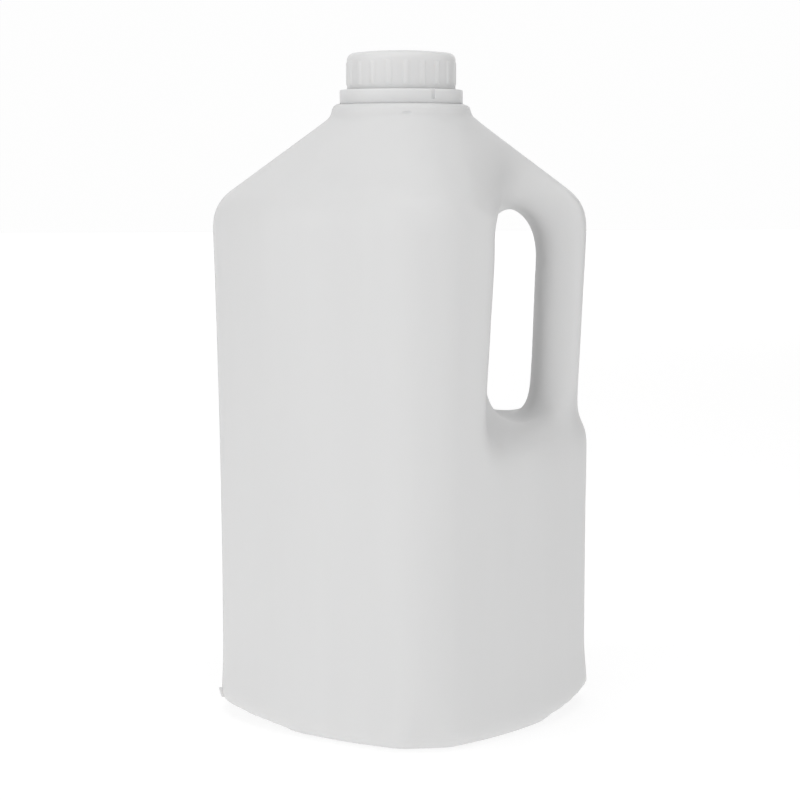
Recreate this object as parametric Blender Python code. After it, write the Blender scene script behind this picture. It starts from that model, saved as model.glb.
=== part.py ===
"""Shampoo jug of about 4 litres, shut: a blow-moulded body of natural white polyethylene
with its handle in one corner, a ribbed screw cap and the cap's tear band.

Metres, +Z up. +X points to the handle's corner, and the mould parts in the plane Y = 0.
The origin is on the floor, under the neck, which is the middle of the jug's bounding box.
"""

import math

import bmesh
import bpy

MM = 0.001

# Body: half its width over the rounded corners, at three heights and on each side
SHOULDER_HALF = 85.8 * MM
LEFT_WAIST_HALF = 82.8 * MM
RIGHT_WAIST_HALF = 84.6 * MM
DEPTH_WAIST_HALF = 83.8 * MM
FOOT_FLARE = 1.4 * MM
WAIST_Z = 54.0 * MM
FLARE_Z = 32.0 * MM
HEEL_RADIUS = 7.0 * MM

# Section of the body: a square standing on its corner, with bulging sides. Its round corners
# turn into flatter, sharper ones at the foot.
WALL_FLAT_HALF = 0.6 * MM
WALL_CORNER_RADIUS = 28.0 * MM
FOOT_FLAT_HALF = 9.0 * MM
FOOT_CORNER_RADIUS = 10.0 * MM
FOOT_CORNER_Z = 30.0 * MM
FACE_START = math.radians(29.0)

# Shoulder and neck
SHOULDER_Z = 230.4 * MM
SHOULDER_RADIUS = 19.5 * MM
NECK_ROOT_Z = 268.8 * MM
NECK_ROOT_RADIUS = 32.0 * MM
ARM_ROOT_RADIUS = 33.4 * MM
ROOT_CONE = 4.4 * MM
NECK_SKIRT_RADIUS = 36.5 * MM
COLLAR_Z = 269.6 * MM
COLLAR_TOP_Z = 274.8 * MM
COLLAR_RADIUS = 31.2 * MM
COLLAR_ROUND = 2.0 * MM
COLLAR_FLARE = 0.6 * MM
COLLAR_SINK = 8.0 * MM
NECK_RADIUS = 23.2 * MM

# Handle: a fin in the parting plane, cut free by a pocket on each side and a slot
FIN_HALF = 14.3 * MM
HANDLE_TOP_HALF = 85.8 * MM
HANDLE_FOOT_HALF = 81.3 * MM
STEP_HALF = 85.2 * MM
STEP_FADE_Z = 90.0 * MM
STEP_LOW_Z = 126.5 * MM
STEP_HIGH_Z = 135.5 * MM
SLOT_LOW_Z = 132.1 * MM
SLOT_LOW_SIDES = (36.8 * MM, 61.2 * MM)
SLOT_FOOT_X = 50.0 * MM
SLOT_FOOT_RISES = (18.0 * MM, 14.0 * MM)
SLOT_HIGH_Z = 229.0 * MM
SLOT_HIGH_SIDES = (37.0 * MM, 63.4 * MM)
SLOT_CROWN_X = 48.0 * MM
SLOT_CROWN = 20.5 * MM
SLOT_REACH = 6.0 * MM

# The pocket's wall on the fin: distance from the axis, height and draft in degrees. The draft
# is strong where the wall fades into the shoulder.
POCKET_WALL = (
    (44.0 * MM, 281.2 * MM, 30.0),
    (44.0 * MM, 260.0 * MM, 35.0),
    (48.0 * MM, 252.0 * MM, 29.0),
    (51.0 * MM, 243.0 * MM, 26.0),
    (50.0 * MM, 235.0 * MM, 20.0),
    (43.0 * MM, 230.0 * MM, 12.0),
    (36.6 * MM, 222.0 * MM, 6.0),
    (36.0 * MM, 208.0 * MM, 5.0),
    (32.0 * MM, 152.0 * MM, 5.0),
)
POCKET_CORNER = 14.5 * MM
POCKET_FILLET = 12.5 * MM
FLOOR_DRAFT = math.radians(14.0)

# Base: a raised channel along the parting plane, where the mould pinches the plastic off
CHANNEL_HALF = 41.8 * MM
CHANNEL_RISE = 2.0 * MM
CHANNEL_LEFT_END_RISE = 5.5 * MM
CHANNEL_RIGHT_END_RISE = 7.5 * MM
CHANNEL_LEVEL_HALF = 45.0 * MM
PINCH_TAB = (1.4 * MM, 1.6 * MM, 4.0 * MM)
PINCH_TAB_Z = 6.0 * MM

# Cap and tear band
PIECE_GAP = 0.35 * MM
CAP_RADIUS = 24.3 * MM
CAP_TOP_Z = 298.2 * MM
CAP_CROWN = 1.0 * MM
CAP_EDGE_ROUND = 3.2 * MM
RIB_COUNT = 24
RIB_HEIGHT = 0.5 * MM
RIB_LOW_CLEAR = 1.2 * MM
RIB_HIGH_CLEAR = 4.6 * MM
BAND_RADIUS = 27.6 * MM
BAND_TOP_Z = 281.0 * MM
BAND_ROUND = 0.7 * MM
NOTCH_WIDTH = 2.0 * MM
NOTCH_DEPTH = 1.1 * MM
NOTCH_SILL = 1.4 * MM
NOTCH_DIRECTION = math.radians(-66.0)

# Fineness of the meshes
CURVE_STEPS = 24
CURVE_CROWDING = 0.09
WALL_STEPS = 30
SHOULDER_STEPS = 8
ROUND_STEPS = 8
FILLET_STEPS = 4
CHANNEL_STEPS = 24
TURNED_STEPS = 64
VOXEL = 2.2 * MM
BODY_SMOOTHING = 4
HANDLE_SMOOTHING = 30
BLEND_START_X = 14.0 * MM
BLEND_START_Z = 102.0 * MM
BLEND_WIDTH = 16.0 * MM
POCKET_FOOT_SMOOTHING = 95
POCKET_FOOT_X = (26.0 * MM, 76.0 * MM)
POCKET_FOOT_Z = (104.0 * MM, 154.0 * MM)
POCKET_FOOT_Y = 18.0 * MM
POCKET_FOOT_FADE = 10.0 * MM
BODY_FACES_KEPT = 0.062

FAR = 140.0 * MM
SHARP_ANGLE = math.radians(35.0)


def remove_everything():
    for old in list(bpy.data.objects):
        bpy.data.objects.remove(old, do_unlink=True)


def mix(a, b, t):
    return a + (b - a) * t


def eased(t):
    """0 to 1 with level ends."""
    t = min(max(t, 0.0), 1.0)
    return t * t * (3 - 2 * t)


def arc(centre, radius, start, end, steps):
    """Points of an arc from one angle to another, in degrees, both ends included."""
    points = []
    for i in range(steps + 1):
        angle = math.radians(mix(start, end, i / steps))
        points.append((centre[0] + radius * math.cos(angle), centre[1] + radius * math.sin(angle)))
    return points


def plastic(name, colour, roughness):
    made = bpy.data.materials.new(name)
    made.use_nodes = True
    shader = made.node_tree.nodes["Principled BSDF"]
    shader.inputs["Base Color"].default_value = (*colour, 1.0)
    shader.inputs["Roughness"].default_value = roughness
    shader.inputs["Metallic"].default_value = 0.0
    return made


def object_from(name, points, faces):
    """A mesh object with its faces turned outwards."""
    mesh = bpy.data.meshes.new(name)
    mesh.from_pydata(points, [], faces)
    shell = bmesh.new()
    shell.from_mesh(mesh)
    bmesh.ops.recalc_face_normals(shell, faces=shell.faces)
    shell.to_mesh(mesh)
    shell.free()
    made = bpy.data.objects.new(name, mesh)
    bpy.context.scene.collection.objects.link(made)
    return made


def stacked(name, rings):
    """A closed solid through rings of equally many points, bottom ring first."""
    count = len(rings[0])
    points = [point for ring in rings for point in ring]
    faces = [list(range(count)), list(range(len(points) - count, len(points)))]
    for level in range(len(rings) - 1):
        for i in range(count):
            j = (i + 1) % count
            low = level * count
            faces.append([low + i, low + j, low + count + j, low + count + i])
    return object_from(name, points, faces)


def turned(name, profile, steps=TURNED_STEPS):
    """A closed solid turned about the neck's axis from (radius, height) points, lowest first."""
    rings = []
    for radius, z in profile:
        ring = []
        for i in range(steps):
            angle = 2 * math.pi * i / steps
            ring.append((radius * math.cos(angle), radius * math.sin(angle), z))
        rings.append(ring)
    return stacked(name, rings)


def boolean(target, cutter, operation):
    change = target.modifiers.new(cutter.name, "BOOLEAN")
    change.operation = operation
    change.object = cutter
    change.solver = "EXACT"


def settle(target):
    """Replaces an object's mesh by the one that its modifiers make."""
    bpy.context.view_layer.update()
    evaluated = target.evaluated_get(bpy.context.evaluated_depsgraph_get())
    target.data = bpy.data.meshes.new_from_object(evaluated)
    target.modifiers.clear()


def discard(*tools):
    for tool in tools:
        bpy.data.objects.remove(tool, do_unlink=True)


def quarter_section(flat_half, radius):
    """A quarter of the body's section for a half width of 1: (across, deep) points
    from the middle of the front corner to the middle of the side corner."""
    flat = flat_half / SHOULDER_HALF
    corner = radius / SHOULDER_HALF
    face_end = math.pi / 2 - FACE_START
    turn = math.sin(face_end) - math.sin(FACE_START)
    used = flat + corner * (math.sin(FACE_START) + 1 - math.sin(face_end))
    face = (1 - used) / turn

    def after_flat(direction):
        first = min(direction, FACE_START)
        middle = min(max(direction, FACE_START), face_end)
        last = max(direction, face_end)
        across = flat + corner * math.sin(first)
        across += face * (math.sin(middle) - math.sin(FACE_START))
        across += corner * (math.sin(last) - math.sin(face_end))
        deep = 1 - corner * (1 - math.cos(first))
        deep -= face * (math.cos(FACE_START) - math.cos(middle))
        deep -= corner * (math.cos(face_end) - math.cos(last))
        return across, deep

    points = [(0.0, 1.0)]
    for i in range(CURVE_STEPS + 1):
        share = i / CURVE_STEPS
        direction = math.pi / 2 * (share + CURVE_CROWDING * math.sin(2 * math.pi * share))
        points.append(after_flat(direction))
    return points


def whole_section(flat_half, radius):
    """The section all round, anticlockwise from the side corner at +X."""
    quarter = quarter_section(flat_half, radius)
    mirrored = list(reversed(quarter))
    mirrored.insert(0, (1.0, 0.0))
    upper = mirrored + [(-x, y) for x, y in reversed(mirrored[:-1])]
    return upper + [(x, -y) for x, y in reversed(upper[1:-1])]


def section_at(foot, wall, z):
    """The section at a height, on the way from the foot's to the wall's."""
    share = eased(z / FOOT_CORNER_Z)
    return [(mix(fx, wx, share), mix(fy, wy, share)) for (fx, fy), (wx, wy) in zip(foot, wall)]


def neck_circle(section):
    """Points of a unit circle, one for each point of the section."""
    angles = [math.atan2(y, x) for x, y in section]
    return [(math.cos(angle), math.sin(angle)) for angle in angles]


def half_widths(z):
    """(left, right, depth) half widths of the body at a height, without heel or shoulder."""
    rise = min(max((z - WAIST_Z) / (SHOULDER_Z - WAIST_Z), 0.0), 1.0) ** 1.8
    flare = FOOT_FLARE * max(1 - z / FLARE_Z, 0.0) ** 2
    left = mix(LEFT_WAIST_HALF, SHOULDER_HALF, rise) + flare
    depth = mix(DEPTH_WAIST_HALF, SHOULDER_HALF, rise) + flare
    climb = min((z - STEP_HIGH_Z) / (SHOULDER_Z - STEP_HIGH_Z), 1.0)
    handle = mix(HANDLE_FOOT_HALF, HANDLE_TOP_HALF, climb)
    step = eased((z - STEP_LOW_Z) / (STEP_HIGH_Z - STEP_LOW_Z))
    under_step = eased((z - STEP_FADE_Z) / (STEP_LOW_Z - STEP_FADE_Z))
    right = mix(mix(RIGHT_WAIST_HALF, STEP_HALF, under_step) + flare, handle, step)
    return left, right, depth


def body_ring(section, circle, z, inset, to_neck):
    """One ring of the body: drawn in by the heel's inset, and turning into the neck's circle."""
    left, right, depth = half_widths(z)
    ring = []
    for (x, y), (cx, cy) in zip(section, circle):
        wide = (right if x > 0 else left) - inset
        root = mix(NECK_ROOT_RADIUS, ARM_ROOT_RADIUS, max(cx, 0.0) ** 4)
        px = mix(x * wide, cx * root, to_neck)
        py = mix(y * (depth - inset), cy * NECK_ROOT_RADIUS, to_neck)
        ring.append((px, py, z))
    return ring


def body_levels():
    """(z, inset, to_neck) from the base, over the heel, up the wall and over the shoulder."""
    levels = []
    for i in range(ROUND_STEPS + 1):
        angle = math.pi / 2 * i / ROUND_STEPS
        levels.append((HEEL_RADIUS * (1 - math.cos(angle)), HEEL_RADIUS * (1 - math.sin(angle)), 0.0))
    reach = SHOULDER_HALF - NECK_ROOT_RADIUS
    slope = math.atan2(NECK_ROOT_Z - SHOULDER_Z, reach)
    turn = math.pi / 2 - slope
    tangent = SHOULDER_RADIUS * math.tan(turn / 2)
    wall_top = SHOULDER_Z - tangent
    for i in range(1, WALL_STEPS):
        levels.append((mix(HEEL_RADIUS, wall_top, i / WALL_STEPS), 0.0, 0.0))
    for i in range(ROUND_STEPS + 1):
        angle = turn * i / ROUND_STEPS
        across = SHOULDER_RADIUS * (1 - math.cos(angle))
        levels.append((wall_top + SHOULDER_RADIUS * math.sin(angle), 0.0, across / reach))
    last_z, _, last_share = levels[-1]
    for i in range(1, SHOULDER_STEPS + 1):
        share = i / SHOULDER_STEPS
        levels.append((mix(last_z, NECK_ROOT_Z, share), 0.0, mix(last_share, 1.0, share)))
    return levels


def make_full_body():
    foot = whole_section(FOOT_FLAT_HALF, FOOT_CORNER_RADIUS)
    wall = whole_section(WALL_FLAT_HALF, WALL_CORNER_RADIUS)
    circle = neck_circle(wall)
    rings = []
    for z, inset, to_neck in body_levels():
        rings.append(body_ring(section_at(foot, wall, z), circle, z, inset, to_neck))
    return stacked("full_body", rings)


def pocket_outline(reach, fillet):
    """The pocket seen along Y at a distance from the fin: (x, z) points from above the shoulder
    down its wall, round its lower corner, which the fillet fills, and along its floor."""
    outline = [(x - reach * math.tan(math.radians(draft)), z) for x, z, draft in POCKET_WALL]
    centre_x = outline[-1][0] + POCKET_CORNER
    centre_z = outline[-1][1] - reach * math.tan(FLOOR_DRAFT)
    for i in range(1, ROUND_STEPS + 1):
        share = i / ROUND_STEPS
        angle = math.pi * (1 + share / 2)
        radius = POCKET_CORNER - fillet * eased(2 * share)
        outline.append((centre_x + radius * math.cos(angle), centre_z + radius * math.sin(angle)))
    outline += [(FAR, outline[-1][1]), (FAR, outline[0][1])]
    return outline


def make_pocket(side):
    """The room beside the handle: its wall and floor open outwards by the mould's draft, and
    a fillet joins its floor to the fin."""
    rings = []
    for i in range(FILLET_STEPS + 1):
        angle = math.pi / 2 * i / FILLET_STEPS
        reach = POCKET_FILLET * (1 - math.cos(angle))
        outline = pocket_outline(reach, POCKET_FILLET * (1 - math.sin(angle)))
        rings.append([(x, side * (FIN_HALF + reach), z) for x, z in outline])
    rings.append([(x, side * FAR, z) for x, z in pocket_outline(FAR - FIN_HALF, 0.0)])
    return stacked("pocket", rings)


def lopsided_arch(middle, sides, tip_z, rises):
    """Half an oval with its tip over middle, between two upright sides that each start their
    own rise below it, or above it where the rise is under 0."""
    points = []
    for across, up in arc((0.0, 0.0), 1.0, 0, 180, 2 * ROUND_STEPS):
        left = across < 0
        half = middle - sides[0] if left else sides[1] - middle
        points.append((middle + half * across, tip_z - rises[0 if left else 1] * (1 - up)))
    return points


def make_slot():
    """The finger gap: an upright slot with an arched top and a round, narrower foot."""
    down = [-rise for rise in SLOT_FOOT_RISES]
    foot = lopsided_arch(SLOT_FOOT_X, SLOT_LOW_SIDES, SLOT_LOW_Z, down)
    crown = lopsided_arch(SLOT_CROWN_X, SLOT_HIGH_SIDES, SLOT_HIGH_Z, (SLOT_CROWN, SLOT_CROWN))
    outline = list(reversed(foot)) + crown
    reach = FIN_HALF + SLOT_REACH
    return stacked("slot", [[(x, y, z) for x, z in outline] for y in (-reach, reach)])


def smooth_where(target, name, iterations, chosen):
    """Smooths the points for which chosen(x, y, z) gives a weight over 0."""
    group = target.vertex_groups.new(name=name)
    for point in target.data.vertices:
        weight = chosen(*point.co)
        if weight > 0:
            group.add([point.index], weight, "REPLACE")
    change = target.modifiers.new(name, "SMOOTH")
    change.factor = 0.5
    change.iterations = iterations
    change.vertex_group = name


def near_handle(x, y, z):
    """1 on the handle, its pockets and its roots, and 0 on the rest of the body."""
    right = eased((x - BLEND_START_X) / BLEND_WIDTH)
    above = eased((z - BLEND_START_Z) / BLEND_WIDTH)
    return right * above


def in_pocket_foot(x, y, z):
    """1 where the pockets' floors meet their walls and the body, beside the fin."""
    weight = eased((abs(y) - POCKET_FOOT_Y) / POCKET_FOOT_FADE)
    for place, (low, high) in ((x, POCKET_FOOT_X), (z, POCKET_FOOT_Z)):
        weight *= eased((place - low) / POCKET_FOOT_FADE)
        weight *= eased((high - place) / POCKET_FOOT_FADE)
    return weight


def make_neck_root():
    """The round root of the neck, which the pockets leave standing under the collar."""
    return turned("neck_root", [
        (NECK_SKIRT_RADIUS, SHOULDER_Z),
        (NECK_SKIRT_RADIUS, NECK_ROOT_Z - ROOT_CONE),
        (NECK_ROOT_RADIUS, NECK_ROOT_Z),
    ])


def make_neck():
    """The collar, and the neck inside the tear band and cap."""
    corner = (COLLAR_RADIUS - COLLAR_ROUND, COLLAR_TOP_Z - COLLAR_ROUND)
    profile = [(COLLAR_RADIUS - COLLAR_FLARE, COLLAR_Z - COLLAR_SINK), (COLLAR_RADIUS, COLLAR_Z)]
    profile += arc(corner, COLLAR_ROUND, 0, 90, 4)
    profile += [(NECK_RADIUS, COLLAR_TOP_Z), (NECK_RADIUS, BAND_TOP_Z - PIECE_GAP)]
    return turned("neck", profile)


def channel_roof(x):
    """Height of the channel's roof over the floor: level in the middle, rising to the corners."""
    past = max(abs(x) - CHANNEL_LEVEL_HALF, 0.0) / (SHOULDER_HALF - CHANNEL_LEVEL_HALF)
    end_rise = CHANNEL_RIGHT_END_RISE if x > 0 else CHANNEL_LEFT_END_RISE
    return CHANNEL_RISE + end_rise * past**2


def make_channel():
    rings = []
    for i in range(CHANNEL_STEPS + 1):
        x = mix(-FAR, FAR, i / CHANNEL_STEPS)
        roof = channel_roof(x)
        foot = CHANNEL_HALF + roof
        rings.append([(x, -foot, -FIN_HALF), (x, foot, -FIN_HALF), (x, foot, 0.0),
                      (x, CHANNEL_HALF, roof), (x, -CHANNEL_HALF, roof), (x, -foot, 0.0)])
    return stacked("channel", rings)


def make_pinch_tab():
    """What the mould leaves of the pinched plastic, low on the corner away from the handle."""
    out, half, high = PINCH_TAB
    left = -half_widths(PINCH_TAB_Z)[0]
    rings = []
    for z, reach in ((PINCH_TAB_Z, 0.0), (PINCH_TAB_Z + high * 0.5, out), (PINCH_TAB_Z + high, out)):
        x = left - reach
        inside = left + 6 * MM
        rings.append([(x, -half, z), (inside, -half, z), (inside, half, z), (x, half, z)])
    return stacked("pinch_tab", rings)


def make_jug(material):
    jug = make_full_body()
    jug.name = "jug"
    front = make_pocket(-1)
    back = make_pocket(1)
    slot = make_slot()
    for cutter in (front, back, slot):
        boolean(jug, cutter, "DIFFERENCE")
    root = make_neck_root()
    boolean(jug, root, "UNION")
    settle(jug)
    blend = jug.modifiers.new("blend", "REMESH")
    blend.mode = "VOXEL"
    blend.voxel_size = VOXEL
    settle(jug)
    smooth_where(jug, "body", BODY_SMOOTHING, lambda x, y, z: 1.0)
    settle(jug)
    smooth_where(jug, "handle", HANDLE_SMOOTHING, near_handle)
    settle(jug)
    smooth_where(jug, "pocket_foot", POCKET_FOOT_SMOOTHING, in_pocket_foot)
    fewer = jug.modifiers.new("fewer", "DECIMATE")
    fewer.ratio = BODY_FACES_KEPT
    settle(jug)
    neck = make_neck()
    channel = make_channel()
    tab = make_pinch_tab()
    boolean(jug, neck, "UNION")
    boolean(jug, channel, "DIFFERENCE")
    boolean(jug, tab, "UNION")
    settle(jug)
    discard(front, back, slot, root, neck, channel, tab)
    jug.data.shade_smooth()
    jug.data.set_sharp_from_angle(angle=SHARP_ANGLE)
    jug.data.materials.clear()
    jug.data.materials.append(material)
    return jug


def make_cap(material):
    """The cap: its side carries upright ribs, and its top edge is rounded under a low crown."""
    bottom = BAND_TOP_Z + PIECE_GAP
    edge_z = CAP_TOP_Z - CAP_CROWN - CAP_EDGE_ROUND
    levels = [(CAP_RADIUS, bottom, 0), (CAP_RADIUS, bottom + RIB_LOW_CLEAR, 0)]
    levels.append((CAP_RADIUS, bottom + RIB_LOW_CLEAR + RIB_HEIGHT, 1))
    levels.append((CAP_RADIUS, CAP_TOP_Z - RIB_HIGH_CLEAR - RIB_HEIGHT, 1))
    levels.append((CAP_RADIUS, CAP_TOP_Z - RIB_HIGH_CLEAR, 0))
    for radius, z in arc((CAP_RADIUS - CAP_EDGE_ROUND, edge_z), CAP_EDGE_ROUND, 0, 90, 4):
        levels.append((radius, z, 0))
    for share in (0.66, 0.33):
        radius = (CAP_RADIUS - CAP_EDGE_ROUND) * share
        levels.append((radius, mix(CAP_TOP_Z, CAP_TOP_Z - CAP_CROWN, share**2), 0))
    pitch = 2 * math.pi / RIB_COUNT
    rings = []
    for radius, z, ribbed in levels:
        ring = []
        for rib in range(RIB_COUNT):
            for part, raised in ((-0.27, 0), (-0.17, 1), (0.17, 1), (0.27, 0)):
                angle = pitch * (rib + part)
                reach = radius + RIB_HEIGHT * raised * ribbed
                ring.append((reach * math.cos(angle), reach * math.sin(angle), z))
        rings.append(ring)
    cap = stacked("cap", rings)
    cap.data.shade_smooth()
    cap.data.set_sharp_from_angle(angle=SHARP_ANGLE)
    cap.data.materials.append(material)
    return cap


def make_tear_band(material):
    """The ring round the neck between collar and cap, with its tearing notch."""
    bottom = COLLAR_TOP_Z + PIECE_GAP
    inner = NECK_RADIUS + PIECE_GAP
    outline = arc((BAND_RADIUS - BAND_ROUND, bottom + BAND_ROUND), BAND_ROUND, -90, 0, 2)
    outline += arc((BAND_RADIUS - BAND_ROUND, BAND_TOP_Z - BAND_ROUND), BAND_ROUND, 0, 90, 2)
    outline += [(inner, BAND_TOP_Z), (inner, bottom)]
    points = []
    for i in range(TURNED_STEPS):
        angle = 2 * math.pi * i / TURNED_STEPS
        for radius, z in outline:
            points.append((radius * math.cos(angle), radius * math.sin(angle), z))
    count = len(outline)
    faces = []
    for i in range(TURNED_STEPS):
        here = i * count
        there = (i + 1) % TURNED_STEPS * count
        for j in range(count):
            k = (j + 1) % count
            faces.append([here + j, there + j, there + k, here + k])
    band = object_from("tear_band", points, faces)
    deep = BAND_RADIUS - NOTCH_DEPTH
    rings = []
    for z in (bottom + NOTCH_SILL, BAND_TOP_Z + NOTCH_WIDTH):
        ring = []
        for radius, aside in ((deep, -1), (FAR, -1), (FAR, 1), (deep, 1)):
            along = aside * NOTCH_WIDTH / 2
            x = radius * math.cos(NOTCH_DIRECTION) - along * math.sin(NOTCH_DIRECTION)
            y = radius * math.sin(NOTCH_DIRECTION) + along * math.cos(NOTCH_DIRECTION)
            ring.append((x, y, z))
        rings.append(ring)
    notch = stacked("notch", rings)
    boolean(band, notch, "DIFFERENCE")
    settle(band)
    discard(notch)
    band.data.shade_smooth()
    band.data.set_sharp_from_angle(angle=SHARP_ANGLE)
    band.data.materials.clear()
    band.data.materials.append(material)
    return band


remove_everything()
make_jug(plastic("jug_polyethylene", (0.80, 0.80, 0.80), 0.42))
cap_plastic = plastic("cap_plastic", (0.78, 0.78, 0.78), 0.36)
make_cap(cap_plastic)
make_tear_band(cap_plastic)
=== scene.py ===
"""A blank white shampoo jug of about 4 litres with a moulded handle, shut with a ribbed cap.

Metres, +Z up. +X points to the handle's corner, and the mould parted in the plane Y = 0.
"""

import math

import bmesh
import bpy
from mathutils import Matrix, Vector


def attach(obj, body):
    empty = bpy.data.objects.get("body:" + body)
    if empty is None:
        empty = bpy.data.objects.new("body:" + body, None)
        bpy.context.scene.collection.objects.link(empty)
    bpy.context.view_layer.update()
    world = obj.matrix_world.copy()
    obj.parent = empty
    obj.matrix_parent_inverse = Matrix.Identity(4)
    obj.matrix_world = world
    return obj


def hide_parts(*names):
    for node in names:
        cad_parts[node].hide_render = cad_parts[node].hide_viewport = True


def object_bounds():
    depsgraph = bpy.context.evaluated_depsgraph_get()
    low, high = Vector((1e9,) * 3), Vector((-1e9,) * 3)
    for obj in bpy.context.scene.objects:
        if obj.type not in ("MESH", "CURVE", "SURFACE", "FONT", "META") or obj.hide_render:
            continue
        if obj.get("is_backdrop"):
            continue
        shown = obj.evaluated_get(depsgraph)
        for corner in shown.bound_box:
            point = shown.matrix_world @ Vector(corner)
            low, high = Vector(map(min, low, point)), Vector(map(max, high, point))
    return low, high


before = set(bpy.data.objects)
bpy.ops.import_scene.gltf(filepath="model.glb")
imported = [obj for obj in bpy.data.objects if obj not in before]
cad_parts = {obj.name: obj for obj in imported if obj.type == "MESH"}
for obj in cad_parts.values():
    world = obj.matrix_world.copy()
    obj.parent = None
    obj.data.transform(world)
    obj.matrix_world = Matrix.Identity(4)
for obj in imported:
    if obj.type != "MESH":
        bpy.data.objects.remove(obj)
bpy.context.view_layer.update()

# Camera
# The photograph is taken from a little above the middle of the jug, about a metre away,
# with the handle's corner turned a few degrees away from the camera.
CAMERA_DISTANCE = 0.945
CAMERA_HEIGHT = 0.2525
CAMERA_PITCH = math.radians(6.7)
CAMERA_TURN = math.radians(7.5)
PHOTO_WIDTH = 800
FOCAL_PIXELS = 2087
JUG_MIDDLE_COLUMN = 401.2

bpy.ops.object.camera_add(
    location=(
        -CAMERA_DISTANCE * math.sin(CAMERA_TURN),
        -CAMERA_DISTANCE * math.cos(CAMERA_TURN),
        CAMERA_HEIGHT,
    ),
    rotation=(math.pi / 2 - CAMERA_PITCH, 0, -CAMERA_TURN),
)
camera = bpy.context.object
camera.name = "camera"
camera.data.sensor_width = 36
camera.data.lens = FOCAL_PIXELS / PHOTO_WIDTH * camera.data.sensor_width
camera.data.shift_x = (PHOTO_WIDTH / 2 - JUG_MIDDLE_COLUMN) / PHOTO_WIDTH
bpy.context.scene.camera = camera

# Blown body
# The jug is blown from polyethylene in a two-part mould. Its body is a square that stands on
# its corner, with bulging sides and flattened corners, and it narrows over a sloping shoulder
# to the neck. It is drawn up ring by ring from the outline of its foot.
SHOULDER_HALF = 0.0858
LEFT_SHOULDER_HALF = 0.0849
LEFT_WAIST_HALF = 0.0819
RIGHT_WAIST_HALF = 0.0855
DEPTH_WAIST_HALF = 0.0838
FOOT_FLARE = 0.0014
FLARE_TOP = 0.032
WAIST_HEIGHT = 0.054
HEEL_RADIUS = 0.009
CORNER_FLAT_HALF = 0.0006
CORNER_RADIUS = 0.0280
FOOT_FLAT_HALF = 0.0090
FOOT_CORNER_RADIUS = 0.0100
FOOT_CORNER_HEIGHT = 0.030
CORNER_TURN = math.radians(29)
SHOULDER_HEIGHT = 0.2304
SHOULDER_RADIUS = 0.0195
NECK_ROOT_HEIGHT = 0.2688
NECK_ROOT_RADIUS = 0.0320
HANDLE_ROOT_RADIUS = 0.0334
HANDLE_TOP_HALF = 0.0855
HANDLE_FOOT_HALF = 0.0811
STEP_HALF = 0.0861
STEP_FADE_HEIGHT = 0.090
STEP_LOW = 0.1265
STEP_HIGH = 0.1355
FLAT_POINTS = 1
CURVE_POINTS = 30
POINTS_TO_CORNERS = 0.09
WALL_CURVE = 1.8
HEEL_STEPS = 8
WALL_STEPS = 48
SHOULDER_STEPS = 12
SLOPE_STEPS = 10


def between(low, high, share):
    return low + (high - low) * share


def eased(share):
    share = min(max(share, 0.0), 1.0)
    return share * share * (3 - 2 * share)


def quarter_outline(flat_half, radius):
    """A quarter of the body's outline for a half width of 1, from the front corner to the side."""
    flat = flat_half / SHOULDER_HALF
    corner = radius / SHOULDER_HALF
    face_end = math.pi / 2 - CORNER_TURN
    used = flat + corner * (math.sin(CORNER_TURN) + 1 - math.sin(face_end))
    face = (1 - used) / (math.sin(face_end) - math.sin(CORNER_TURN))
    points = [(flat * i / FLAT_POINTS, 1.0) for i in range(FLAT_POINTS)]
    for i in range(CURVE_POINTS + 1):
        share = i / CURVE_POINTS
        turn = math.pi / 2 * (share + POINTS_TO_CORNERS * math.sin(2 * math.pi * share))
        first = min(turn, CORNER_TURN)
        middle = min(max(turn, CORNER_TURN), face_end)
        last = max(turn, face_end)
        across = flat + corner * math.sin(first)
        across += face * (math.sin(middle) - math.sin(CORNER_TURN))
        across += corner * (math.sin(last) - math.sin(face_end))
        deep = 1 - corner * (1 - math.cos(first))
        deep -= face * (math.cos(CORNER_TURN) - math.cos(middle))
        deep -= corner * (math.cos(face_end) - math.cos(last))
        points.append((across, deep))
    points += [(1.0, flat * (1 - i / FLAT_POINTS)) for i in range(1, FLAT_POINTS)]
    return points


def turn_of(x, y):
    """The direction of a point round the neck's axis, starting at the handle."""
    return (math.atan2(y, x) + 1e-5) % (2 * math.pi)


def half_widths(height):
    """The body's half widths to the left, to the right and in depth."""
    rise = min(max((height - WAIST_HEIGHT) / (SHOULDER_HEIGHT - WAIST_HEIGHT), 0.0), 1.0)
    rise = rise ** WALL_CURVE
    flare = FOOT_FLARE * max(1 - height / FLARE_TOP, 0.0) ** 2
    left = between(LEFT_WAIST_HALF, LEFT_SHOULDER_HALF, rise) + flare
    depth = between(DEPTH_WAIST_HALF, SHOULDER_HALF, rise)
    climb = min((height - STEP_HIGH) / (SHOULDER_HEIGHT - STEP_HIGH), 1.0)
    handle = between(HANDLE_FOOT_HALF, HANDLE_TOP_HALF, climb)
    under_step = eased((height - STEP_FADE_HEIGHT) / (STEP_LOW - STEP_FADE_HEIGHT))
    wall = between(RIGHT_WAIST_HALF, STEP_HALF, under_step) + flare
    right = between(wall, handle, eased((height - STEP_LOW) / (STEP_HIGH - STEP_LOW)))
    return left, right, depth


def whole_outline(quarter):
    """The quarter mirrored to all four corners, in order round the neck's axis."""
    points = [(x * right, y * front) for right in (1, -1) for front in (1, -1) for x, y in quarter]
    points += [(1, 0), (-1, 0)]
    return sorted({(round(x, 6), round(y, 6)) for x, y in points}, key=lambda at: turn_of(*at))


wall_outline = whole_outline(quarter_outline(CORNER_FLAT_HALF, CORNER_RADIUS))
foot_outline = whole_outline(quarter_outline(FOOT_FLAT_HALF, FOOT_CORNER_RADIUS))


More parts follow.
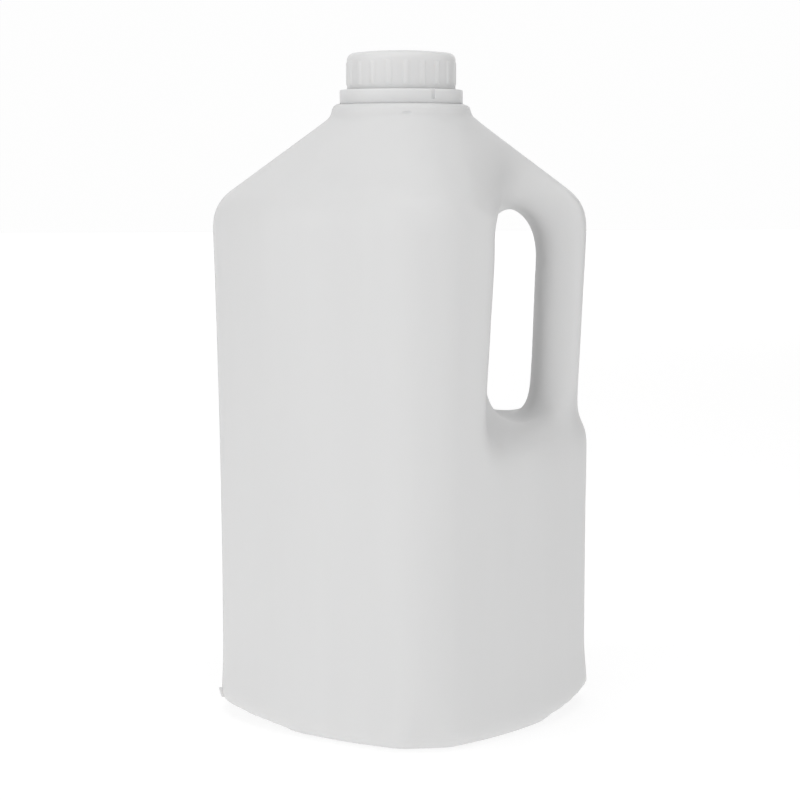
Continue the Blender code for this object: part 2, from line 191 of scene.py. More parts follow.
def place_ring(height, inset, to_neck):
    """Puts the selected ring at its height: in the body's outline, or on the way to the neck."""
    left, right, depth = half_widths(height)
    to_wall = eased(height / FOOT_CORNER_HEIGHT)
    outline = [(between(foot[0], wall[0], to_wall), between(foot[1], wall[1], to_wall))
               for foot, wall in zip(foot_outline, wall_outline)]
    shape = bmesh.from_edit_mesh(bpy.context.object.data)
    ring = [point for point in shape.verts if point.select]
    ring.sort(key=lambda point: turn_of(point.co.x, point.co.y))
    for point, (x, y) in zip(ring, outline):
        turn = math.atan2(y, x)
        root = between(NECK_ROOT_RADIUS, HANDLE_ROOT_RADIUS, max(math.cos(turn), 0.0) ** 4)
        wide = (right if x > 0 else left) - inset
        point.co.x = between(x * wide, math.cos(turn) * root, to_neck)
        point.co.y = between(y * (depth - inset), math.sin(turn) * NECK_ROOT_RADIUS, to_neck)
        point.co.z = height
    bmesh.update_edit_mesh(bpy.context.object.data)


bpy.ops.object.select_all(action="DESELECT")
bpy.ops.mesh.primitive_circle_add(
    vertices=len(wall_outline), radius=SHOULDER_HALF, fill_type="NGON")
jug = bpy.context.object
jug.name = "blown_jug"
bpy.ops.object.mode_set(mode="EDIT")
bpy.ops.mesh.select_all(action="SELECT")
place_ring(0.0, HEEL_RADIUS, 0.0)
for i in range(1, HEEL_STEPS + 1):
    heel = math.pi / 2 * i / HEEL_STEPS
    bpy.ops.mesh.extrude_region_move()
    place_ring(HEEL_RADIUS * (1 - math.cos(heel)), HEEL_RADIUS * (1 - math.sin(heel)), 0.0)
shoulder_reach = SHOULDER_HALF - NECK_ROOT_RADIUS
shoulder_turn = math.pi / 2 - math.atan2(NECK_ROOT_HEIGHT - SHOULDER_HEIGHT, shoulder_reach)
wall_top = SHOULDER_HEIGHT - SHOULDER_RADIUS * math.tan(shoulder_turn / 2)
for i in range(1, WALL_STEPS + 1):
    bpy.ops.mesh.extrude_region_move()
    place_ring(between(HEEL_RADIUS, wall_top, i / WALL_STEPS), 0.0, 0.0)
for i in range(1, SHOULDER_STEPS + 1):
    turned = shoulder_turn * i / SHOULDER_STEPS
    to_neck = SHOULDER_RADIUS * (1 - math.cos(turned)) / shoulder_reach
    round_top = wall_top + SHOULDER_RADIUS * math.sin(turned)
    bpy.ops.mesh.extrude_region_move()
    place_ring(round_top, 0.0, to_neck)
for i in range(1, SLOPE_STEPS + 1):
    bpy.ops.mesh.extrude_region_move()
    place_ring(between(round_top, NECK_ROOT_HEIGHT, i / SLOPE_STEPS), 0.0,
               between(to_neck, 1.0, i / SLOPE_STEPS))
bpy.ops.mesh.select_all(action="SELECT")
bpy.ops.mesh.normals_make_consistent(inside=False)
bpy.ops.object.mode_set(mode="OBJECT")

# Hand pockets and finger gap
# The mould presses a pocket into each side of the handle's corner and leaves a fin between
# them. The web in the fin is cut out after moulding, which leaves the finger gap, and the
# handle's side of the gap is rounded for the fingers. Each point of a pocket's wall is x, z
# and the draft in degrees by which the wall leans out.
FIN_HALF = 0.0143
POCKET_WALL = (
    (0.0440, 0.2812, 30),
    (0.0440, 0.2600, 35),
    (0.0480, 0.2520, 29),
    (0.0510, 0.2430, 26),
    (0.0500, 0.2350, 20),
    (0.0430, 0.2300, 12),
    (0.0366, 0.2220, 6),
    (0.0360, 0.2080, 5),
)
POCKET_CORNER = (0.0310, 0.1375)
POCKET_CORNER_RADIUS = 0.0145
POCKET_REACH = 0.07
POCKET_END = 0.2
WALL_DRAFT = 5
FLOOR_DRAFT = 14
FOOT_FILLET = 0.0125
GAP_TOP = 0.2290
GAP_TOP_SIDES = (0.0370, 0.0626)
GAP_CROWN = (0.0480, 0.0205)
GAP_FOOT = (0.0500, 0.0140)
GAP_FOOT_LEFT_RISE = 0.0180
GAP_BOTTOM = 0.1321
GAP_REACH = 0.040
GAP_MIDDLE = (0.0500, 0.1800)
GRIP_ROUND = 0.0080
GRIP_START_X = 0.0480
GRIP_STEPS = 8
GAP_STEPS = 32
GAP_FOOT_SIDES = (0.0368, 0.0604)


def cut(tool, operation="DIFFERENCE"):
    """Cuts the tool out of the jug, or joins it on, and throws the tool away."""
    bpy.ops.object.mode_set(mode="OBJECT")
    bpy.ops.object.select_all(action="DESELECT")
    bpy.context.view_layer.objects.active = jug
    jug.select_set(True)
    finish_with("BOOLEAN", operation=operation, object=tool, solver="EXACT")
    bpy.data.objects.remove(tool, do_unlink=True)


def finish_with(kind, **settings):
    """Gives the active object a modifier with these settings and applies it."""
    bpy.ops.object.modifier_add(type=kind)
    change = bpy.context.object.modifiers[-1]
    for name, value in settings.items():
        setattr(change, name, value)
    bpy.ops.object.modifier_apply(modifier=change.name)


def pick(kind, wanted):
    """In edit mode, selects the faces, edges or points whose middle passes the test."""
    bpy.ops.mesh.select_mode(type=kind)
    bpy.ops.mesh.select_all(action="DESELECT")
    shape = bmesh.from_edit_mesh(bpy.context.object.data)
    if kind == "VERT":
        for point in shape.verts:
            point.select_set(wanted(point.co))
    if kind == "EDGE":
        for edge in shape.edges:
            edge.select_set(wanted((edge.verts[0].co + edge.verts[1].co) / 2))
    if kind == "FACE":
        for face in shape.faces:
            face.select_set(wanted(face.calc_center_median()))
    bmesh.update_edit_mesh(bpy.context.object.data)


def flat_outline(name, points):
    """A flat face in the plane Y = 0 with its corners at these (x, z) points, left in edit mode."""
    bpy.ops.object.select_all(action="DESELECT")
    bpy.ops.mesh.primitive_circle_add(vertices=len(points), fill_type="NGON")
    bpy.context.object.name = name
    for corner, (x, z) in zip(bpy.context.object.data.vertices, points):
        corner.co = (x, 0.0, z)
    bpy.ops.object.mode_set(mode="EDIT")
    bpy.ops.mesh.select_all(action="SELECT")
    return bpy.context.object


for side in (-1, 1):
    low = POCKET_CORNER[1]
    pocket = flat_outline("pocket", [*[(x, z) for x, z, _ in POCKET_WALL], POCKET_CORNER,
                                     (POCKET_END, low), (POCKET_END, POCKET_WALL[0][1])])
    pick("VERT", lambda co: math.hypot(co.x - POCKET_CORNER[0], co.z - low) < 1e-5)
    bpy.ops.mesh.bevel(offset=POCKET_CORNER_RADIUS, segments=10, affect="VERTICES")
    bpy.ops.mesh.select_all(action="SELECT")
    bpy.ops.transform.translate(value=(0, side * FIN_HALF, 0))
    bpy.ops.mesh.extrude_region_move(
        TRANSFORM_OT_translate={"value": (0, side * POCKET_REACH, 0)})
    outer = side * (FIN_HALF + POCKET_REACH)
    pick("VERT", lambda co: abs(co.y - outer) < 1e-5 and co.z < low + POCKET_CORNER_RADIUS * 1.1)
    bpy.ops.transform.translate(value=(-math.tan(math.radians(WALL_DRAFT)) * POCKET_REACH, 0,
                                       -math.tan(math.radians(FLOOR_DRAFT)) * POCKET_REACH))
    for x, z, draft in POCKET_WALL:
        pick("VERT", lambda co: (co - Vector((x, outer, z))).length < 1e-5)
        bpy.ops.transform.translate(value=(-math.tan(math.radians(draft)) * POCKET_REACH, 0, 0))
    inner = side * FIN_HALF
    pick("EDGE", lambda co: abs(co.y - inner) < 1e-5 and co.z < low + POCKET_CORNER_RADIUS * 0.98)
    bpy.ops.mesh.bevel(offset=FOOT_FILLET, segments=6)
    bpy.ops.mesh.select_all(action="SELECT")
    bpy.ops.mesh.normals_make_consistent(inside=False)
    cut(pocket)

gap_points = []
for i in range(GAP_STEPS + 1):
    turn = math.pi * i / GAP_STEPS
    left, right = GAP_TOP_SIDES
    half = right - GAP_CROWN[0] if turn < math.pi / 2 else GAP_CROWN[0] - left
    gap_points.append((GAP_CROWN[0] + half * math.cos(turn),
                       GAP_TOP - GAP_CROWN[1] * (1 - math.sin(turn))))
for i in range(GAP_STEPS + 1):
    turn = math.pi * i / GAP_STEPS
    left, right = GAP_FOOT_SIDES
    half = GAP_FOOT[0] - left if turn < math.pi / 2 else right - GAP_FOOT[0]
    rise = GAP_FOOT_LEFT_RISE if turn < math.pi / 2 else GAP_FOOT[1]
    gap_points.append((GAP_FOOT[0] - half * math.cos(turn),
                       GAP_BOTTOM + rise * (1 - math.sin(turn))))


def around_gap(x, z):
    """The direction of a point round the middle of the gap."""
    return math.atan2(z - GAP_MIDDLE[1], x - GAP_MIDDLE[0])


gap_points.sort(key=lambda at: around_gap(*at))
gap_rings = [(-GAP_REACH, GRIP_ROUND), (-FIN_HALF, GRIP_ROUND)]
for i in range(1, GRIP_STEPS):
    turn = math.pi / 2 * i / GRIP_STEPS
    gap_rings.append((-FIN_HALF + GRIP_ROUND * (1 - math.cos(turn)),
                      GRIP_ROUND * (1 - math.sin(turn))))
gap_rings.append((GRIP_ROUND - FIN_HALF, 0.0))
gap_rings += [(-y, flare) for y, flare in reversed(gap_rings)]
gap = flat_outline("gap", gap_points)
for number, (y, flare) in enumerate(gap_rings):
    if number:
        bpy.ops.mesh.extrude_region_move()
    shape = bmesh.from_edit_mesh(gap.data)
    ring = [point for point in shape.verts if point.select]
    ring.sort(key=lambda point: around_gap(point.co.x, point.co.z))
    for point, (x, z) in zip(ring, gap_points):
        share = (x - GRIP_START_X) / (GAP_TOP_SIDES[1] - GRIP_START_X)
        point.co = (x + flare * min(max(share, 0.0), 1.0), y, z)
    bmesh.update_edit_mesh(gap.data)
bpy.ops.mesh.select_all(action="SELECT")
bpy.ops.mesh.normals_make_consistent(inside=False)
cut(gap)

# Neck and collar
# Under the cap the neck starts with a thick collar, which rises from a round root on the
# shoulder. The thread is under the cap and isn't made.
ROOT_RADIUS = 0.0365
ROOT_CONE = 0.0044
COLLAR_RADIUS = 0.0312
COLLAR_FOOT = 0.2618
COLLAR_TOP = 0.2751
COLLAR_ROUND = 0.0020
NECK_RADIUS = 0.0232
NECK_TOP = 0.2808

bpy.ops.object.select_all(action="DESELECT")
bpy.ops.mesh.primitive_cylinder_add(
    vertices=128, radius=ROOT_RADIUS, depth=NECK_ROOT_HEIGHT - ROOT_CONE - SHOULDER_HEIGHT,
    location=(0, 0, (NECK_ROOT_HEIGHT - ROOT_CONE + SHOULDER_HEIGHT) / 2))
root = bpy.context.object
bpy.ops.object.transform_apply(location=True)
bpy.ops.object.mode_set(mode="EDIT")
pick("FACE", lambda co: co.z > NECK_ROOT_HEIGHT - ROOT_CONE - 1e-5)
bpy.ops.mesh.extrude_region_move(TRANSFORM_OT_translate={"value": (0, 0, ROOT_CONE)})
narrow = NECK_ROOT_RADIUS / ROOT_RADIUS
bpy.ops.transform.resize(value=(narrow, narrow, 1), center_override=(0, 0, 0))
cut(root, "UNION")

bpy.ops.object.select_all(action="DESELECT")
bpy.ops.mesh.primitive_cylinder_add(
    vertices=128, radius=COLLAR_RADIUS, depth=COLLAR_TOP - COLLAR_FOOT,
    location=(0, 0, (COLLAR_TOP + COLLAR_FOOT) / 2))
collar = bpy.context.object
bpy.ops.object.transform_apply(location=True)
bpy.ops.object.mode_set(mode="EDIT")
pick("EDGE", lambda co: co.z > COLLAR_TOP - 1e-5)
bpy.ops.mesh.bevel(offset=COLLAR_ROUND, segments=6)
pick("FACE", lambda co: co.z > COLLAR_TOP - 1e-5)
bpy.ops.mesh.inset(thickness=COLLAR_RADIUS - COLLAR_ROUND - NECK_RADIUS)
bpy.ops.mesh.extrude_region_move(TRANSFORM_OT_translate={"value": (0, 0, NECK_TOP - COLLAR_TOP)})
cut(collar, "UNION")

# Channel under the base
# The mould pinches the soft plastic off along the parting plane, so the base has a raised
# channel there that runs out through the left and right corners, and it stands on two feet.
CHANNEL_HALF = 0.0418
CHANNEL_RISE = 0.002
CHANNEL_LEFT_RISE = 0.0055
CHANNEL_RIGHT_RISE = 0.0075
CHANNEL_LEVEL_HALF = 0.045
CHANNEL_REACH = 0.1
CHANNEL_DEPTH = 0.02
CHANNEL_SLANT = 0.022

bpy.ops.object.select_all(action="DESELECT")
bpy.ops.mesh.primitive_grid_add(x_subdivisions=40, y_subdivisions=1, size=2 * CHANNEL_REACH)
channel = bpy.context.object
bpy.ops.object.mode_set(mode="EDIT")
bpy.ops.mesh.select_all(action="SELECT")
bpy.ops.mesh.extrude_region_move(TRANSFORM_OT_translate={"value": (0, 0, -CHANNEL_DEPTH)})
pick("VERT", lambda co: co.z > -1e-5)
shape = bmesh.from_edit_mesh(channel.data)
for point in shape.verts:
    if point.select:
        past = max(abs(point.co.x) - CHANNEL_LEVEL_HALF, 0) / (SHOULDER_HALF - CHANNEL_LEVEL_HALF)
        end_rise = CHANNEL_RIGHT_RISE if point.co.x > 0 else CHANNEL_LEFT_RISE
        point.co.z = CHANNEL_RISE + end_rise * past**2
        point.co.y = math.copysign(CHANNEL_HALF, point.co.y)
    else:
        point.co.y = math.copysign(CHANNEL_HALF + CHANNEL_SLANT, point.co.y)
bmesh.update_edit_mesh(channel.data)
bpy.ops.mesh.select_all(action="SELECT")
bpy.ops.mesh.normals_make_consistent(inside=False)
cut(channel)

# The jug's skin
# Blown plastic has no sharp edges: where the pockets, the gap and the collar meet the body
# the hot skin stretches round them. The solid is turned into an even skin and relaxed, most
# of all round the handle. A zone is its limits low and high in z and in x and its start on
# either side of the parting plane, each with the width over which it fades.
SKIN_STEP = 0.00152
SKIN_RELAXING = 10
HANDLE_RELAXING = 63
FOOT_RELAXING = 204
CROWN_RELAXING = 680
GRIP_RELAXING = 34
BLEND_START_X = 0.014
BLEND_START_HEIGHT = 0.102
BLEND_WIDTH = 0.016
COLLAR_CLEAR = 0.0345
COLLAR_CLEAR_HEIGHT = 0.262
COLLAR_CLEAR_FADE = 0.005
FOOT_ZONE = ((0.104, 0.01), (0.154, 0.01), (0.026, 0.01), (0.076, 0.01), (0.018, 0.01))
CROWN_ZONE = ((0.226, 0.01), (0.270, 0.01), (0.020, 0.012), (0.074, 0.01), (0.007, 0.007))
GRIP_ZONE = ((0.140, 0.01), (0.232, 0.01), (0.052, 0.006), (0.080, 0.008), (-0.1, 0.01))


def in_handle(co):
    """1 round the handle, fading out to the body and to the collar."""
    weight = eased((co.x - BLEND_START_X) / BLEND_WIDTH)
    weight *= eased((co.z - BLEND_START_HEIGHT) / BLEND_WIDTH)
    if math.hypot(co.x, co.y) < COLLAR_CLEAR:
        weight *= 1 - eased((co.z - COLLAR_CLEAR_HEIGHT) / COLLAR_CLEAR_FADE)
    return weight


def in_zone(co, zone):
    """1 inside the zone, fading out to 0 at its limits."""
    low, high, left, right, side = zone
    weight = eased((co.z - low[0]) / low[1]) * eased((high[0] - co.z) / high[1])
    weight *= (eased((abs(co.y) - side[0]) / side[1]) * eased((right[0] - co.x) / right[1])
               * eased((co.x - left[0]) / left[1]))
    return weight


def relax_skin(name, iterations, weight_at):
    """Smooths the jug's skin, at each point as strongly as the weight there."""
    group = jug.vertex_groups.new(name=name)
    for point in jug.data.vertices:
        weight = weight_at(point.co)
        if weight > 0:
            group.add([point.index], weight, "REPLACE")
    finish_with("SMOOTH", factor=0.5, iterations=iterations, vertex_group=name)


bpy.ops.object.select_all(action="DESELECT")
bpy.context.view_layer.objects.active = jug
jug.select_set(True)
finish_with("REMESH", mode="VOXEL", voxel_size=SKIN_STEP, use_smooth_shade=True)
finish_with("SMOOTH", factor=0.5, iterations=SKIN_RELAXING)
relax_skin("handle_skin", HANDLE_RELAXING, in_handle)
relax_skin("foot_skin", FOOT_RELAXING, lambda co: in_zone(co, FOOT_ZONE))
relax_skin("crown_skin", CROWN_RELAXING, lambda co: in_zone(co, CROWN_ZONE))
relax_skin("grip_skin", GRIP_RELAXING, lambda co: in_zone(co, GRIP_ZONE))
jug.vertex_groups.clear()

# Marks of the mould
# The two halves of the mould leave a fine raised line round the jug, a stub of pinched
# plastic low on the corner away from the handle, a weld along the base, and a small dent in
# the front of the collar.
LINE_RADIUS = 0.00022
STUB = (0.0014, 0.0032, 0.0040)
STUB_HEIGHT = 0.0060
STUB_ROUND = 0.0004
DENT_HEIGHT = 0.2708
DENT_TURN = math.radians(-93.5)
DENT_DEPTH = 0.0002
DENT_OUTSIDE = 0.0008
DENT_SIZE = (0.0030, 0.0010)

bpy.ops.object.select_all(action="DESELECT")
bpy.context.view_layer.objects.active = jug
jug.select_set(True)
bpy.ops.object.duplicate()
line = bpy.context.object
line.name = "parting_line"
bpy.ops.object.mode_set(mode="EDIT")
bpy.ops.mesh.select_all(action="SELECT")
bpy.ops.mesh.bisect(plane_co=(0, 0, 0), plane_no=(0, 1, 0), clear_inner=True, clear_outer=True)
pick("VERT", lambda co: GAP_BOTTOM - 0.003 < co.z < GAP_TOP + 0.003
     and GAP_FOOT_SIDES[0] - 0.006 < co.x < GAP_TOP_SIDES[1] + 0.003)
bpy.ops.mesh.delete(type="VERT")
bpy.ops.object.mode_set(mode="OBJECT")
bpy.ops.object.convert(target="CURVE")
line.data.bevel_depth = LINE_RADIUS
line.data.bevel_resolution = 1
bpy.ops.object.convert(target="MESH")
bpy.ops.object.shade_smooth()

bpy.ops.object.select_all(action="DESELECT")
bpy.ops.mesh.primitive_cube_add(size=1)
stub = bpy.context.object
stub_x = -half_widths(STUB_HEIGHT)[0]
bpy.ops.object.mode_set(mode="EDIT")
bpy.ops.transform.resize(value=(STUB[0] * 2, STUB[1], STUB[2]))
bpy.ops.transform.translate(value=(stub_x, 0, STUB_HEIGHT + STUB[2] / 2))
pick("EDGE", lambda co: co.z < STUB_HEIGHT + 1e-5 and co.x < stub_x - STUB[0] / 2)
bpy.ops.transform.translate(value=(STUB[0] * 0.8, 0, 0))
bpy.ops.mesh.select_all(action="SELECT")
bpy.ops.mesh.bevel(offset=STUB_ROUND, segments=2)
cut(stub, "UNION")

bpy.ops.object.select_all(action="DESELECT")
dent_middle = Vector((math.cos(DENT_TURN), math.sin(DENT_TURN), 0)) * (COLLAR_RADIUS + DENT_OUTSIDE)
bpy.ops.mesh.primitive_uv_sphere_add(segments=32, ring_count=16, radius=1)
dent = bpy.context.object
bpy.ops.object.mode_set(mode="EDIT")
bpy.ops.transform.resize(value=(DENT_SIZE[0], DENT_OUTSIDE + DENT_DEPTH, DENT_SIZE[1]))
bpy.ops.transform.translate(value=(dent_middle.x, dent_middle.y, DENT_HEIGHT))
cut(dent)
bpy.ops.object.shade_smooth_by_angle(angle=math.radians(40))

# The jug's plastic
# Natural white polyethylene: a satin skin that light enters a little way, with the faint
# upright streaks and the fine grain of a blown wall.


def white_plastic(name, colour, roughness, glow, grain_size, streaks):
    """A white plastic: even colour with faint clouds and streaks, and a finely grained skin."""
    made = bpy.data.materials.new(name)
    made.use_nodes = True
    nodes = made.node_tree.nodes
    links = made.node_tree.links
    shader = nodes["Principled BSDF"]
    shader.inputs["Subsurface Weight"].default_value = glow
    shader.inputs["Subsurface Radius"].default_value = (1.0, 0.95, 0.9)
    shader.inputs["Subsurface Scale"].default_value = 0.008
    shader.inputs["Specular IOR Level"].default_value = 0.2
    shader.inputs["IOR"].default_value = 1.5
    place = nodes.new("ShaderNodeTexCoord")
    stretch = nodes.new("ShaderNodeMapping")
    stretch.inputs["Scale"].default_value = (1, 1, streaks)
    links.new(place.outputs["Object"], stretch.inputs["Vector"])
    clouds = nodes.new("ShaderNodeTexNoise")
    clouds.inputs["Scale"].default_value = 55
    clouds.inputs["Detail"].default_value = 3
    links.new(stretch.outputs["Vector"], clouds.inputs["Vector"])
    tint = nodes.new("ShaderNodeMapRange")
    tint.inputs["From Min"].default_value = 0.3
    tint.inputs["From Max"].default_value = 0.7
    tint.inputs["To Min"].default_value = 0.985
    tint.inputs["To Max"].default_value = 1.0
    links.new(clouds.outputs["Fac"], tint.inputs["Value"])
    blend = nodes.new("ShaderNodeMix")
    blend.data_type = "RGBA"
    blend.blend_type = "MULTIPLY"
    blend.inputs["Factor"].default_value = 1.0
    blend.inputs["A"].default_value = (*colour, 1)
    links.new(tint.outputs["Result"], blend.inputs["B"])
    links.new(blend.outputs["Result"], shader.inputs["Base Color"])
    grain = nodes.new("ShaderNodeTexNoise")
    grain.inputs["Scale"].default_value = 1 / grain_size
    grain.inputs["Detail"].default_value = 2
    links.new(place.outputs["Object"], grain.inputs["Vector"])
    dull = nodes.new("ShaderNodeMapRange")
    dull.inputs["To Min"].default_value = roughness - 0.05
    dull.inputs["To Max"].default_value = roughness + 0.05
    links.new(grain.outputs["Fac"], dull.inputs["Value"])
    links.new(dull.outputs["Result"], shader.inputs["Roughness"])
    bump = nodes.new("ShaderNodeBump")
    bump.inputs["Strength"].default_value = 0.15
    bump.inputs["Distance"].default_value = grain_size * 0.05
    links.new(grain.outputs["Fac"], bump.inputs["Height"])
    links.new(bump.outputs["Normal"], shader.inputs["Normal"])
    return made


jug_plastic = white_plastic("jug_plastic", (0.68, 0.68, 0.68), 0.42, 0.25, 0.0016, 0.12)
for piece in (jug, line):
    piece.data.materials.clear()
    piece.data.materials.append(jug_plastic)
    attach(piece, "root")
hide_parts("jug")

# Cap
# A screw cap moulded in white plastic. Twenty low upright ribs for the grip run from above
# its foot to below its rounded top edge, and the top is slightly crowned.
CAP_RADIUS = 0.0243
CAP_BOTTOM = 0.2811
CAP_TOP = 0.2988
CAP_CROWN = 0.0012
CAP_ROUND = 0.0032
RIB_COUNT = 20
RIB_TURN = math.radians(-2.5)
RIB_HEIGHT = 0.00040
RIB_LOW = 0.2828
RIB_HIGH = 0.2940
RIB_END = 0.0012
RIB_SHARE = 0.30
RIB_FLANK = 0.10
STEPS_PER_RIB = 20
RIB_END_CUTS = 5
CROWN_STEPS = 7
CAP_EDGE = 0.00030

bpy.ops.object.select_all(action="DESELECT")
side_top = CAP_TOP - CAP_CROWN
bpy.ops.mesh.primitive_cylinder_add(
    vertices=RIB_COUNT * STEPS_PER_RIB, radius=CAP_RADIUS, depth=side_top - CAP_BOTTOM,
    location=(0, 0, (side_top + CAP_BOTTOM) / 2))
cap = bpy.context.object
cap.name = "ribbed_cap"
bpy.ops.object.transform_apply(location=True)
bpy.ops.object.mode_set(mode="EDIT")
for i in range(RIB_END_CUTS):
    run_in = RIB_END * i / (RIB_END_CUTS - 1)
    for height in (RIB_LOW + run_in, RIB_HIGH - run_in):
        bpy.ops.mesh.select_all(action="SELECT")
        bpy.ops.mesh.bisect(plane_co=(0, 0, height), plane_no=(0, 0, 1))
pick("EDGE", lambda co: co.z > side_top - 1e-5)
bpy.ops.mesh.bevel(offset=CAP_ROUND, segments=10)
pick("FACE", lambda co: co.z > side_top - 1e-5)
for left in range(CROWN_STEPS - 1, 0, -1):
    narrower = left / (left + 1)
    lift = CAP_CROWN * ((1 - left**2 / CROWN_STEPS**2) - (1 - (left + 1) ** 2 / CROWN_STEPS**2))
    bpy.ops.mesh.extrude_region_move(TRANSFORM_OT_translate={"value": (0, 0, lift)})
    bpy.ops.transform.resize(value=(narrower, narrower, 1), center_override=(0, 0, 0))


def rib_rise(co):
    """How far the cap's side stands out as a rib at this place, from 0 to 1."""
    place = (math.atan2(co.y, co.x) - RIB_TURN) / (2 * math.pi) * RIB_COUNT
    aside = abs(place - round(place))
    rise = eased((RIB_SHARE / 2 + RIB_FLANK / 2 - aside) / RIB_FLANK)
    return rise * eased((co.z - RIB_LOW) / RIB_END) * eased((RIB_HIGH - co.z) / RIB_END)


pick("VERT", lambda co: math.hypot(co.x, co.y) > CAP_RADIUS * 0.98)
shape = bmesh.from_edit_mesh(cap.data)
for point in shape.verts:
    if point.select:
        outwards = Vector((point.co.x, point.co.y, 0)).normalized()
        point.co += outwards * RIB_HEIGHT * rib_rise(point.co)
bmesh.update_edit_mesh(cap.data)
bpy.ops.mesh.select_all(action="SELECT")
bpy.ops.mesh.normals_make_consistent(inside=False)
bpy.ops.object.mode_set(mode="OBJECT")
finish_with("BEVEL", width=CAP_EDGE, segments=3, limit_method="ANGLE",
            angle_limit=math.radians(30))
bpy.ops.object.shade_smooth_by_angle(angle=math.radians(40))
cap_plastic = white_plastic("cap_plastic", (0.69, 0.69, 0.69), 0.36, 0.4, 0.0009, 1.0)
cap.data.materials.append(cap_plastic)
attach(cap, "root")
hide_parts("cap")

# Tear band
# The ring between cap and collar that is torn off when the jug is first opened. A notch
# marks where the tearing starts.
BAND_RADIUS = 0.0276
BAND_INNER = 0.02355
BAND_BOTTOM = 0.2749
BAND_TOP = 0.2813
BAND_ROUND = 0.0005
BAND_EDGE = 0.00015
NOTCH_TURN = math.radians(-67)
NOTCH = (0.0019, 0.0008, 0.0046)
NOTCH_ROUND = 0.0003

bpy.ops.object.select_all(action="DESELECT")
bpy.ops.mesh.primitive_cylinder_add(
    vertices=256, radius=BAND_RADIUS, depth=BAND_TOP - BAND_BOTTOM, end_fill_type="NOTHING",
    location=(0, 0, (BAND_TOP + BAND_BOTTOM) / 2))
band = bpy.context.object
band.name = "tear_ring"
bpy.ops.object.transform_apply(location=True)
finish_with("SOLIDIFY", thickness=BAND_RADIUS - BAND_INNER, offset=-1)
bpy.ops.object.mode_set(mode="EDIT")
pick("EDGE", lambda co: math.hypot(co.x, co.y) > BAND_RADIUS * 0.995
     and (co.z > BAND_TOP - 1e-5 or co.z < BAND_BOTTOM + 1e-5))
bpy.ops.mesh.bevel(offset=BAND_ROUND, segments=4)
bpy.ops.object.mode_set(mode="OBJECT")

bpy.ops.object.select_all(action="DESELECT")
bpy.ops.mesh.primitive_cube_add(size=1)
notch = bpy.context.object
bpy.ops.object.mode_set(mode="EDIT")
bpy.ops.transform.resize(value=(2 * NOTCH[1], NOTCH[0], 2 * NOTCH[2]))
bpy.ops.mesh.bevel(offset=NOTCH_ROUND, segments=2)
bpy.ops.mesh.select_all(action="SELECT")
bpy.ops.transform.translate(value=(BAND_RADIUS, 0, BAND_TOP))
bpy.ops.object.mode_set(mode="OBJECT")
notch.rotation_euler.z = NOTCH_TURN
bpy.ops.object.transform_apply(rotation=True)
bpy.ops.object.select_all(action="DESELECT")
bpy.context.view_layer.objects.active = band
band.select_set(True)
finish_with("BOOLEAN", operation="DIFFERENCE", object=notch, solver="EXACT")
bpy.data.objects.remove(notch, do_unlink=True)
finish_with("BEVEL", width=BAND_EDGE, segments=2, limit_method="ANGLE",
            angle_limit=math.radians(40))
bpy.ops.object.shade_smooth_by_angle(angle=math.radians(40))
band.data.materials.append(cap_plastic)
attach(band, "root")
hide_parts("tear_band")

# Floor and light
# The jug stands on a glowing white light table in front of a white lit wall. Two tall lamps on
# the left, a weak one in front, one overhead and even light all round fall on it. Two dark
# cards stand beside it and reach behind it, out of the picture, and keep its edges a little
# darker. Each lamp is its turn and rise in degrees, its width in metres and its power.
FLOOR_SIZE = 12.0
FLOOR_GLOW = 0.69
WALL_GLOW = 0.97
WALL_CORNERS = ((-1.3, 5.9, 0), (2.9, 5.9, 0), (2.9, 5.9, 1.1), (-1.3, 5.9, 1.1))
LEFT_CARD = ((-1.5, 0, 0), (-1.5, 1.8, 0), (-1.5, 1.8, 2.8), (-1.5, 0, 2.8))
RIGHT_CARD = ((1.5, 0, 0), (1.5, 1.8, 0), (1.5, 1.8, 2.8), (1.5, 0, 2.8))
AMBIENT = 0.885
STUDIO_LIGHTS = (
    ("left_lamp", -85, 12, 0.7, 5.3),
    ("key_lamp", -60, 15, 0.9, 3.8),
    ("front_lamp", 20, 20, 1.2, 1.0),
    ("top_lamp", 0, 88, 1.6, 8.0),
)
LIGHT_DISTANCE = 2.2
LIGHT_HEIGHT = 1.4
LIGHT_AIM = Vector((0, 0, 0.15))


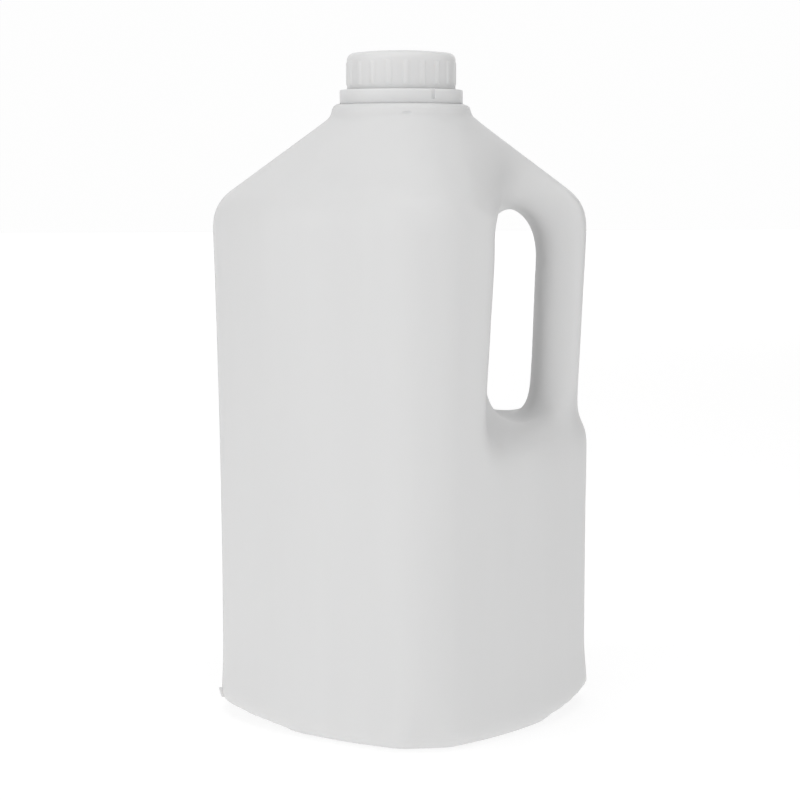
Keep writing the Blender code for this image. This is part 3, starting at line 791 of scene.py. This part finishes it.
def studio_sheet(name, colour, glow):
    """A flat sheet of the studio, with a plain matt colour that may glow."""
    bpy.ops.object.select_all(action="DESELECT")
    bpy.ops.mesh.primitive_plane_add(size=FLOOR_SIZE)
    sheet = bpy.context.object
    sheet.name = name
    made = bpy.data.materials.new(name)
    made.use_nodes = True
    surface = made.node_tree.nodes["Principled BSDF"]
    surface.inputs["Base Color"].default_value = (colour, colour, colour, 1)
    surface.inputs["Roughness"].default_value = 0.9
    surface.inputs["Emission Color"].default_value = (1, 1, 1, 1)
    surface.inputs["Emission Strength"].default_value = glow
    sheet.data.materials.append(made)
    sheet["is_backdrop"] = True
    return sheet


bpy.context.scene.view_settings.view_transform = "Standard"
studio_sheet("floor", 0.35, FLOOR_GLOW)
wall = studio_sheet("wall", 0.0, WALL_GLOW)
left_card = studio_sheet("left_card", 0.25, 0.0)
right_card = studio_sheet("right_card", 0.06, 0.0)
for sheet, corners in ((wall, WALL_CORNERS), (left_card, LEFT_CARD), (right_card, RIGHT_CARD)):
    order = [sheet.data.loops[i].vertex_index for i in sheet.data.polygons[0].loop_indices]
    for index, corner in zip(order, corners):
        sheet.data.vertices[index].co = corner

world = bpy.data.worlds.new("studio")
bpy.context.scene.world = world
world.use_nodes = True
world.node_tree.nodes["Background"].inputs["Color"].default_value = (1, 1, 1, 1)
world.node_tree.nodes["Background"].inputs["Strength"].default_value = AMBIENT

for name, turn, rise, width, power in STUDIO_LIGHTS:
    turn, rise = math.radians(turn), math.radians(rise)
    side = Vector((math.sin(turn), -math.cos(turn), 0)) * math.cos(rise)
    place = LIGHT_AIM + (side + Vector((0, 0, math.sin(rise)))) * LIGHT_DISTANCE
    bpy.ops.object.light_add(type="AREA", location=place)
    light = bpy.context.object
    light.name = name
    light.data.shape = "RECTANGLE"
    light.data.size = width
    light.data.size_y = LIGHT_HEIGHT
    light.data.energy = power
    light.rotation_euler = (LIGHT_AIM - place).to_track_quat("-Z", "Y").to_euler()

# The bounds of the shown pieces, leaving out the studio's sheets.
low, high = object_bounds()
